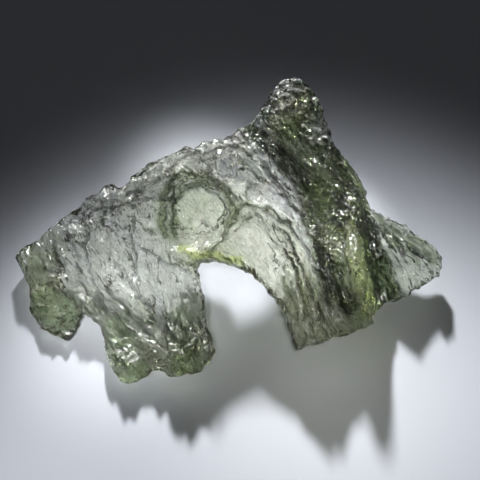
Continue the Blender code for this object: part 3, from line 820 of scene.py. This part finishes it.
links.new(facets(FLAT_SIZE, FLAT_TILT), shader.inputs["Normal"])
links.new(facets(GLINT_SIZE, GLINT_TILT), shader.inputs["Coat Normal"])
links.new(read("frost").outputs["Fac"], shader.inputs["Roughness"])
steepest = math.degrees(math.atan(0.5 * GLINT_TILT))
print("flats lean up to", round(steepest), "degrees where the bite is 1")

# %% [markdown]
# ## Dark threads
#
# Thin wavy threads run through the melt, darker than the rest.  A noise pattern crosses its middle
# value along just such wandering lines, so the distance from that value, taken narrow, draws them.
# They darken the tint and leave it alone in between.

# %% Dark threads over the tint
# Size in metres.
THREAD_SIZE = (0.0012, 0.00042, 0.00042)
THREAD_WIDTH = 0.07
DARKEST = 0.60
MIDDLE = 0.5
noise = along_grain("ShaderNodeTexNoise", THREAD_SIZE)
noise.inputs["Detail"].default_value = 1.0
off = set_to("ShaderNodeMath", "SUBTRACT")
off.inputs[1].default_value = MIDDLE
gap = set_to("ShaderNodeMath", "ABSOLUTE")
shade = nodes.new("ShaderNodeMapRange")
shade.inputs["From Max"].default_value = THREAD_WIDTH
shade.inputs["To Min"].default_value = DARKEST
darker = set_to("ShaderNodeVectorMath", "SCALE")
links.new(noise.outputs["Fac"], off.inputs[0])
links.new(off.outputs["Value"], gap.inputs[0])
links.new(gap.outputs["Value"], shade.inputs["Value"])
links.new(read("tint_and_shade").outputs["Color"], darker.inputs[0])
links.new(shade.outputs["Result"], darker.inputs["Scale"])
links.new(darker.outputs["Vector"], shader.inputs["Base Color"])
shard.data.materials.clear()
shard.data.materials.append(glass)
print("glass has", len(nodes), "nodes")

# %% [markdown]
# ## Taking its place
#
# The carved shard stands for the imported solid, which stays hidden for the physics, and it rides on
# the one body that there is.

# %% Taking its place
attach(shard, "root")
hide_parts("moldavite")
print("shard replaces moldavite")

# %% [markdown]
# ## The paper
#
# The shard lies on plain paper.  For glass the paper matters as much as the lamp: nearly all the
# light in the shard has come back up from it.  So it is a large plane, slightly cool, and fully
# matt.

# %% The paper
PAPER_SIDE = 3.0
deselect_all()
bpy.ops.mesh.primitive_plane_add(size=PAPER_SIDE, location=(0, 0, 0))
floor = bpy.context.active_object
floor.name = "floor"
paper = bpy.data.materials.new("pale_paper")
paper.use_nodes = True
paper_shader = paper.node_tree.nodes["Principled BSDF"]
paper_shader.inputs["Base Color"].default_value = (0.77, 0.80, 0.88, 1.0)
paper_shader.inputs["Roughness"].default_value = 0.9
floor.data.materials.append(paper)
floor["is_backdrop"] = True
print("paper is", floor.dimensions[0], "m wide")

# %% [markdown]
# ## The light
#
# One low lamp behind the shard does most of the work: it makes the pool of light, throws the long
# shadow towards the viewer and lights the glass from behind.  It is a spot, stretched sideways, so
# that the pool has its oval edge.  Four narrow spots from above give back what a real room returns:
# glow lifts the shadow, side shines through the left half, and glint and gleam strike sparks from
# the shelf over the bowl and from the dark right half.  A wider or stronger lamp there would also
# light the paper seen through the glass and grey the furrows.  A soft disk and a faint sky fill in
# the rest.

# %% The sky and the lamps
SKY = 0.020
world = bpy.data.worlds.new("studio")
world.use_nodes = True
world.node_tree.nodes["Background"].inputs["Color"].default_value = (0.95, 1.0, 1.0, 1.0)
world.node_tree.nodes["Background"].inputs["Strength"].default_value = SKY
bpy.context.scene.world = world
# name: (watts, radius, degrees across, soft edge, colour, place, target), lengths in metres
SPOTS = {
    "key": (1.04, 0.005, 45.9, 0.41, (1.0, 1.0, 1.0), (-0.006, 0.1, 0.05), (0.0332, -0.329, 0.0)),
    "glow": (0.31, 0.010, 9.0, 1.0, (1.0, 0.99, 0.86), (0.012, -0.06, 0.11), (0.0072, -0.0128, 0.0)),
    "side": (0.38, 0.005, 9.0, 1.0, (1.0, 1.0, 0.96), (-0.02, -0.05, 0.11), (-0.009, -0.0056, 0.0)),
    "glint": (0.72, 0.004, 5.4, 1.0, (1.0, 1.0, 0.97), (0.02, -0.04, 0.11), (-0.001, 0.0028, 0.007)),
    "gleam": (1.0, 0.003, 6.4, 1.0, (1.0, 1.0, 0.97), (0.028, -0.034, 0.11), (0.0078, -0.0008, 0.0054)),
}
KEY_STRETCH = 1.23


def aim(lamp, place, target):
    """Put a lamp in the scene at a place and turn it to its target."""
    bpy.context.scene.collection.objects.link(lamp)
    lamp.location = Vector(place)
    lamp.rotation_euler = (Vector(target) - Vector(place)).to_track_quat("-Z", "Y").to_euler()


for name, (watts, radius, degrees, soft, colour, place, target) in SPOTS.items():
    data = bpy.data.lights.new(name, "SPOT")
    data.energy = watts
    data.shadow_soft_size = radius
    data.spot_size = math.radians(degrees)
    data.spot_blend = soft
    data.color = colour
    aim(bpy.data.objects.new(name, data), place, target)
bpy.data.objects["key"].scale = (KEY_STRETCH, 1.0, 1.0)
print(len(SPOTS), "spots")

# %% The soft fill
FILL_PLACE = (-0.1, 0.1, 0.3)
fill = bpy.data.lights.new("fill", "AREA")
fill.shape = "DISK"
fill.size = 0.10
fill.energy = 0.02
aim(bpy.data.objects.new("fill", fill), FILL_PLACE, (0.0, 0.0, 0.0))

# %% [markdown]
# ## How the picture is taken
#
# Denoising keeps the fine glitter clean, and nothing is clamped, because a clamp would dim just
# those flashes.  The plain view transform with a little more contrast keeps the paper white and the
# furrows black.

# %% How the picture is taken
scene = bpy.context.scene
scene.cycles.use_denoising = True
scene.cycles.sample_clamp_indirect = 0.0
scene.view_settings.view_transform = "Standard"
scene.view_settings.look = "Medium High Contrast"
print("view", scene.view_settings.view_transform, scene.view_settings.look)

# %% [markdown]
# ## Sizes and finish
#
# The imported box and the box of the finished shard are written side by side, so that the two can be
# compared.

# %% Sizes and finish
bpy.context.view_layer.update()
for title, box in (("packed", CAD_BOX), ("finished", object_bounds())):
    print(title, "box in mm", [round(c / MM, 2) for corner in box for c in corner])
